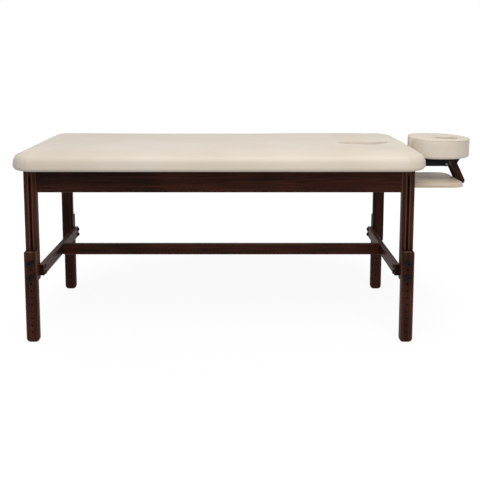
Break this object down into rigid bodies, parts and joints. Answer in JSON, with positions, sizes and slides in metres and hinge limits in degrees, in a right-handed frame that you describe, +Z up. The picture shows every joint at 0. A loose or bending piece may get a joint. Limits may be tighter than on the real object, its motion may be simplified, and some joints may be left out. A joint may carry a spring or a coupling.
{
  "type": "massage table",
  "caption": "Stationary wooden massage table with a padded top, breath hole, bolt-adjustable legs, stretchers, a tilting face cradle and a hanging arm shelf.",
  "frame": {"origin": "on the floor under the middle of the whole part's plan, face cradle included", "axes": "+X along the table towards the head end and the face cradle, +Y to the rear side, +Z up"},
  "size_m": [2.142, 0.762, 0.8939],
  "materials": {
    "cream_vinyl": "satin",
    "stained_wood": "satin",
    "plywood": "matte",
    "black_steel": "satin",
    "black_plastic": "matte",
    "bright_steel": "satin"
  },
  "bodies": {
    "frame": {"table_pad": "cream_vinyl", "deck_board": "plywood", "front_apron": "stained_wood", "rear_apron": "stained_wood", "head_rail": "stained_wood", "foot_rail": "stained_wood", "cross_batten_head": "stained_wood", "cross_batten_foot": "stained_wood", "corner_block_front_foot": "stained_wood", "corner_block_rear_foot": "stained_wood", "corner_block_front_head": "stained_wood", "corner_block_rear_head": "stained_wood", "upper_leg_front_foot": "stained_wood", "upper_leg_rear_foot": "stained_wood", "upper_leg_front_head": "stained_wood", "upper_leg_rear_head": "stained_wood", "end_stretcher_head": "stained_wood", "end_stretcher_foot": "stained_wood", "long_stretcher": "stained_wood", "stretcher_bolt_front_foot_low": "black_steel", "stretcher_bolt_front_foot_high": "black_steel", "stretcher_bolt_rear_foot_low": "black_steel", "stretcher_bolt_rear_foot_high": "black_steel", "stretcher_bolt_front_head_low": "black_steel", "stretcher_bolt_front_head_high": "black_steel", "stretcher_bolt_rear_head_low": "black_steel", "stretcher_bolt_rear_head_high": "black_steel", "long_stretcher_bolt_head": "black_steel", "long_stretcher_bolt_foot": "black_steel", "bar_socket_front": "black_plastic", "bar_socket_rear": "black_plastic"},
    "leg_front_foot": {"lower_leg_front_foot": "stained_wood", "clamp_plate_front_foot": "bright_steel"},
    "leg_rear_foot": {"lower_leg_rear_foot": "stained_wood", "clamp_plate_rear_foot": "bright_steel"},
    "leg_front_head": {"lower_leg_front_head": "stained_wood", "clamp_plate_front_head": "bright_steel"},
    "leg_rear_head": {"lower_leg_rear_head": "stained_wood", "clamp_plate_rear_head": "bright_steel"},
    "knob_front_foot_low": {"clamp_knob_front_foot_low": "black_plastic"},
    "knob_front_foot_high": {"clamp_knob_front_foot_high": "black_plastic"},
    "knob_rear_foot_low": {"clamp_knob_rear_foot_low": "black_plastic"},
    "knob_rear_foot_high": {"clamp_knob_rear_foot_high": "black_plastic"},
    "knob_front_head_low": {"clamp_knob_front_head_low": "black_plastic"},
    "knob_front_head_high": {"clamp_knob_front_head_high": "black_plastic"},
    "knob_rear_head_low": {"clamp_knob_rear_head_low": "black_plastic"},
    "knob_rear_head_high": {"clamp_knob_rear_head_high": "black_plastic"},
    "cradle_base": {"cradle_bar_front": "black_steel", "cradle_bar_rear": "black_steel", "cradle_cross_bar": "black_steel"},
    "cradle_head": {"cradle_platform": "black_plastic", "cradle_cushion": "cream_vinyl", "pivot_bolt_front": "bright_steel", "pivot_bolt_rear": "bright_steel", "hanger_bracket": "black_steel", "hanger_pin": "black_steel"},
    "arm_shelf": {"hanger_arm_front": "stained_wood", "hanger_arm_rear": "stained_wood", "arm_shelf_board": "stained_wood", "arm_shelf_pad": "cream_vinyl"}
  },
  "joints": [
    {"name": "height_front_foot", "type": "slide", "parent": "frame", "child": "leg_front_foot", "axis": [0, 0, 1], "range_m": [0, 0.256]},
    {"name": "height_rear_foot", "type": "slide", "parent": "frame", "child": "leg_rear_foot", "axis": [0, 0, 1], "range_m": [0, 0.256]},
    {"name": "height_front_head", "type": "slide", "parent": "frame", "child": "leg_front_head", "axis": [0, 0, 1], "range_m": [0, 0.256]},
    {"name": "height_rear_head", "type": "slide", "parent": "frame", "child": "leg_rear_head", "axis": [0, 0, 1], "range_m": [0, 0.256]},
    {"name": "turn_front_foot_low", "type": "hinge", "parent": "leg_front_foot", "child": "knob_front_foot_low", "pos_m": [-0.9875, -0.3433, 0.304], "axis": [0, -1, 0], "continuous": true},
    {"name": "turn_front_foot_high", "type": "hinge", "parent": "leg_front_foot", "child": "knob_front_foot_high", "pos_m": [-0.9875, -0.3433, 0.368], "axis": [0, -1, 0], "continuous": true},
    {"name": "turn_rear_foot_low", "type": "hinge", "parent": "leg_rear_foot", "child": "knob_rear_foot_low", "pos_m": [-0.9875, 0.3433, 0.304], "axis": [0, 1, 0], "continuous": true},
    {"name": "turn_rear_foot_high", "type": "hinge", "parent": "leg_rear_foot", "child": "knob_rear_foot_high", "pos_m": [-0.9875, 0.3433, 0.368], "axis": [0, 1, 0], "continuous": true},
    {"name": "turn_front_head_low", "type": "hinge", "parent": "leg_front_head", "child": "knob_front_head_low", "pos_m": [0.6955, -0.3433, 0.304], "axis": [0, -1, 0], "continuous": true},
    {"name": "turn_front_head_high", "type": "hinge", "parent": "leg_front_head", "child": "knob_front_head_high", "pos_m": [0.6955, -0.3433, 0.368], "axis": [0, -1, 0], "continuous": true},
    {"name": "turn_rear_head_low", "type": "hinge", "parent": "leg_rear_head", "child": "knob_rear_head_low", "pos_m": [0.6955, 0.3433, 0.304], "axis": [0, 1, 0], "continuous": true},
    {"name": "turn_rear_head_high", "type": "hinge", "parent": "leg_rear_head", "child": "knob_rear_head_high", "pos_m": [0.6955, 0.3433, 0.368], "axis": [0, 1, 0], "continuous": true},
    {"name": "cradle_pull", "type": "slide", "parent": "frame", "child": "cradle_base", "axis": [1, 0, 0], "range_m": [0, 0.12]},
    {"name": "cradle_tilt", "type": "hinge", "parent": "cradle_base", "child": "cradle_head", "pos_m": [0.9295, 0, 0.7711], "axis": [0, 1, 0], "range_deg": [0, 35]},
    {"name": "shelf_swing", "type": "hinge", "parent": "cradle_head", "child": "arm_shelf", "pos_m": [0.9885, 0, 0.756], "axis": [0, 1, 0], "range_deg": [-35, 0]}
  ],
  "couplings": [
    {"joint": "shelf_swing", "follows": "cradle_tilt", "ratio": -1}
  ]
}
